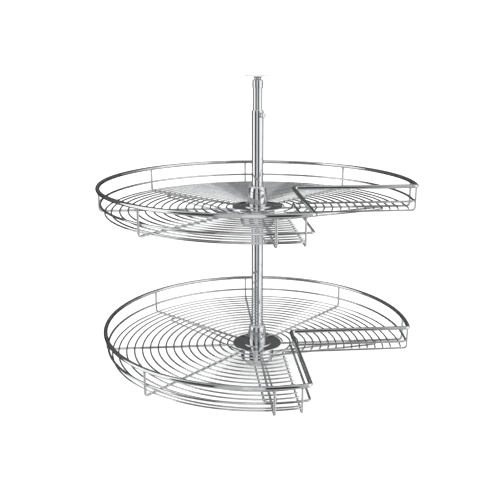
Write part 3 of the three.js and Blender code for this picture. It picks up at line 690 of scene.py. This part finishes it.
innerTube = {"radius": 11, "bore": 9.5, "rounding": 0.4}
mastLow, mastHigh = heights("inner_tube")
bm = turnedMesh([(innerTube["bore"], mastLow), (innerTube["radius"], mastLow),
                 (innerTube["radius"], mastHigh), (innerTube["bore"], mastHigh)], innerTube["rounding"])
finishPiece("innerTubeSkin", bm, "mast", "chrome", "chromePlatedTube", "inner_tube")

mastCap = {"radius": 12.4, "shoulderWidth": 4.2, "shoulder": 2.8, "socket": 11.3, "gap": 0.3,
           "rounding": 0.5}
capLow, capHigh = heights("mast_cap")
socketTop = mastHigh + mastCap["gap"]
bm = turnedMesh([(0, socketTop), (mastCap["socket"], socketTop), (mastCap["socket"], capLow),
                 (mastCap["radius"], capLow), (mastCap["radius"], capHigh - mastCap["shoulder"]),
                 (mastCap["radius"] - mastCap["shoulderWidth"], capHigh), (0, capHigh)],
                mastCap["rounding"])
finishPiece("mastCapShell", bm, "mast", "chrome", "chromePlatedTube", "mast_cap")

topPin = {"neck": 7.5, "flare": 13.5, "straight": 0.7, "steps": 8, "sunk": 0.1, "gap": 0.3,
          "spigot": 4, "spigotInset": 0.4, "rounding": 0.15}
plateLow, plateHigh = heights("top_plate")
neckTop, spigotTop = plateLow - topPin["gap"], plateHigh - topPin["spigotInset"]
flare = bowed((topPin["neck"], capHigh + topPin["straight"]),
              (topPin["neck"], neckTop - topPin["straight"]),
              (topPin["flare"], neckTop), topPin["steps"])
bm = turnedMesh([(0, capHigh - topPin["sunk"]), (topPin["neck"], capHigh - topPin["sunk"])] + flare + [
    (topPin["spigot"], neckTop), (topPin["spigot"], spigotTop), (0, spigotTop)], topPin["rounding"])
finishPiece("topPinNeck", bm, "mast", "chrome", "chromedTurnedSteel", "top_pin")
print("mast made")


# Plates

plate = {"radius": 29.5, "screwCircle": 19.5, "screw": 2.2, "head": 4.2, "screws": (90, 210, 330),
         "holeSides": 40, "holeLength": 12}


def screwHoles(bottom, top, headAtTop):
    # countersunk screw holes, their cones going on for 1 mm past the plate's face
    holes = bmesh.new()
    sink = plate["head"] - plate["screw"]
    wide, narrow, way = (top, top - sink, 1) if headAtTop else (bottom, bottom + sink, -1)
    end = narrow - way * plate["holeLength"]
    profile = [(0, wide + way), (plate["head"] + 1, wide + way), (plate["screw"], narrow),
               (plate["screw"], end), (0, end)]
    for azimuth in (radians(a) for a in plate["screws"]):
        hole = turnedMesh(profile, 0, plate["holeSides"])
        centre = (plate["screwCircle"] * cos(azimuth) * mm, plate["screwCircle"] * sin(azimuth) * mm, 0)
        bmesh.ops.translate(hole, verts=hole.verts, vec=centre)
        holder = bpy.data.meshes.new("hole")
        hole.to_mesh(holder)
        hole.free()
        holes.from_mesh(holder)
        bpy.data.meshes.remove(holder)
    bmesh.ops.recalc_face_normals(holes, faces=holes.faces)
    return holes


topPlate = {"clearance": 0.35, "rounding": 0.7}
bore = topPin["spigot"] + topPlate["clearance"]
bm = turnedMesh([(bore, plateLow), (plate["radius"], plateLow), (plate["radius"], plateHigh),
                 (bore, plateHigh)], topPlate["rounding"])
finishPiece("topPlateDisc", carvedMesh(bm, screwHoles(plateLow, plateHigh, False), "topPlate"),
            "top_plate", "white_nylon", "mouldedNylon", "top_plate")

basePlate = {"thickness": 5, "boss": 12.5, "bossHeight": 3, "bore": 6.4, "seat": 6, "rounding": 0.6}
thick, bore, boss = basePlate["thickness"], basePlate["bore"], basePlate["boss"]
bossTop = thick + basePlate["bossHeight"]
seat = bossTop - basePlate["seat"]
bm = turnedMesh([(0, 0), (plate["radius"], 0), (plate["radius"], thick), (boss, thick), (boss, bossTop),
                 (bore, bossTop), (bore, seat), (0, seat)], basePlate["rounding"])
finishPiece("basePlateDisc", carvedMesh(bm, screwHoles(0, thick, True), "basePlate"), "base",
            "white_nylon", "mouldedNylon", "base_plate")

# four small pieces keep the frame's own shape
for node, material in (("pivot_pin", "zincPlatedSteel"), ("thrust_washer", "zincPlatedSteel"),
                       ("foot_bush", "mouldedNylon"), ("mast_guide", "mouldedNylon")):
    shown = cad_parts[node]
    shown.data.materials.clear()
    shown.data.materials.append(materials[material])
print("plates made")


# Studio

tent = {  # reflectors that only the chrome sees, in metres and degrees
    "radius": 3.2, "middle": 0.35, "facet": 3,
    "heights": (-2.6, 0.35, 4.6),  # over the middle: bottom, seam and top of the upright cards
    "caps": (0.55, 0.6),  # brightness of the round cards below and above
    # upright cards: from and to azimuth, brightness of lower and upper part
    "cards": ((165, 207, 1.3, 1.3), (207, 238, 0.08, 0.08), (238, 255, 0.6, 0.6),
              (255, 270, 0.85, 0.85), (270, 292, 0.05, 0.05), (292, 308, 0.55, 0.55),
              (308, 358, 1.25, 1.25), (358, 378, 0.75, 0.75), (18, 40, 0.3, 0.3),
              (40, 140, 0.03, 0.11), (140, 165, 0.12, 0.12))}


def addStagePiece(name, bm, material):
    mesh = bpy.data.meshes.new(name)
    bm.to_mesh(mesh)
    bm.free()
    mesh.materials.append(material)
    staged = bpy.data.objects.new(name, mesh)
    bpy.context.scene.collection.objects.link(staged)
    return staged


def addCard(name, bm, brightness):
    # seen in the chrome alone: no light on the floor, and in no camera's way
    material, tree = newMaterial(name + "Light")
    glow = addNode(tree, "ShaderNodeEmission", {"Color": white, "Strength": brightness})
    addNode(tree, "ShaderNodeOutputMaterial", {"Surface": glow.outputs[0]})
    card = addStagePiece(name, bm, material)
    card.visible_camera = card.visible_diffuse = card.visible_shadow = False
    card.visible_transmission = card.visible_volume_scatter = False


levels = tent["heights"]
for index, (fromAngle, toAngle, *brightness) in enumerate(tent["cards"]):
    for part, (low, high) in enumerate(zip(levels, levels[1:])):
        bm = bmesh.new()
        start = tent["radius"] * Vector((cos(radians(fromAngle)), sin(radians(fromAngle)), 0))
        ends = [bm.verts.new(start + up * (tent["middle"] + height)) for height in (low, high)]
        edge = bm.edges.new(ends)
        span = toAngle - fromAngle
        bmesh.ops.spin(bm, geom=ends + [edge], cent=(0, 0, 0), axis=up, angle=radians(span),
                       steps=max(4, int(span / tent["facet"])))
        addCard(f"reflector{index}{'ab'[part]}", bm, brightness[part])
ends = (("reflectorBelow", levels[0]), ("reflectorAbove", levels[-1]))
for (name, height), brightness in zip(ends, tent["caps"]):
    bm = bmesh.new()
    bmesh.ops.create_circle(bm, cap_ends=True, segments=64, radius=tent["radius"])
    bmesh.ops.translate(bm, verts=bm.verts, vec=(0, 0, tent["middle"] + height))
    addCard(name, bm, brightness)

studio = {"floorColours": ("#f7f7f6", "#fbfbfa"), "floorRadius": 60, "floorGlow": 0.4,
          "floorRoughness": 0.9, "mottlesPerMetre": 3, "mottleDetail": 3, "worldStrength": 1.15}
material, tree = newMaterial("paintedStudioFloor")  # matt white paint, rolled: barely mottled
floorSpace = addNode(tree, "ShaderNodeTexCoord").outputs["Object"]
mottle = addNode(tree, "ShaderNodeTexNoise", {
    "Vector": floorSpace, "Scale": studio["mottlesPerMetre"], "Detail": studio["mottleDetail"]})
paints = [linear(colour) for colour in studio["floorColours"]]
tint = addNode(tree, "ShaderNodeMixRGB", {
    "Fac": mottle.outputs[0], "Color1": paints[0], "Color2": paints[1]})
paint = addNode(tree, "ShaderNodeBsdfPrincipled", {
    "Base Color": tint.outputs[0], "Roughness": studio["floorRoughness"],
    "Emission Color": white, "Emission Strength": studio["floorGlow"]})
addNode(tree, "ShaderNodeOutputMaterial", {"Surface": paint.outputs[0]})
bm = bmesh.new()
bmesh.ops.create_circle(bm, cap_ends=True, segments=96, radius=studio["floorRadius"])
addStagePiece("studioFloor", bm, material).visible_glossy = False

world = bpy.data.worlds.new("studioAir")
world.use_nodes = True
world.node_tree.nodes.clear()
sky = addNode(world.node_tree, "ShaderNodeBackground", {
    "Color": white, "Strength": studio["worldStrength"]})
addNode(world.node_tree, "ShaderNodeOutputWorld", {"Surface": sky.outputs[0]})
bpy.context.scene.world = world
bpy.context.scene.view_settings.view_transform = "Standard"
print("studio made")


# Camera, matched to the photograph

view = {"place": (-0.15705, -1.63876, 0.74026), "yaw": -4.964, "pitch": 14.996, "roll": 0.013,
        "lens": 49.981, "sensor": 36, "shift": (-0.00263, -0.00065), "farthest": 200}
cameraData = bpy.data.cameras.new("photoCamera")
cameraData.lens = view["lens"]
cameraData.sensor_width = view["sensor"]
cameraData.shift_x, cameraData.shift_y = view["shift"]
cameraData.clip_end = view["farthest"]
camera = bpy.data.objects.new("photoCamera", cameraData)
aim = Euler((radians(90 - view["pitch"]), 0, radians(view["yaw"]))).to_matrix()
aim = aim @ Matrix.Rotation(radians(view["roll"]), 3, "Z")
camera.matrix_world = Matrix.Translation(view["place"]) @ aim.to_4x4()
bpy.context.scene.collection.objects.link(camera)
bpy.context.scene.camera = camera
print("camera placed")
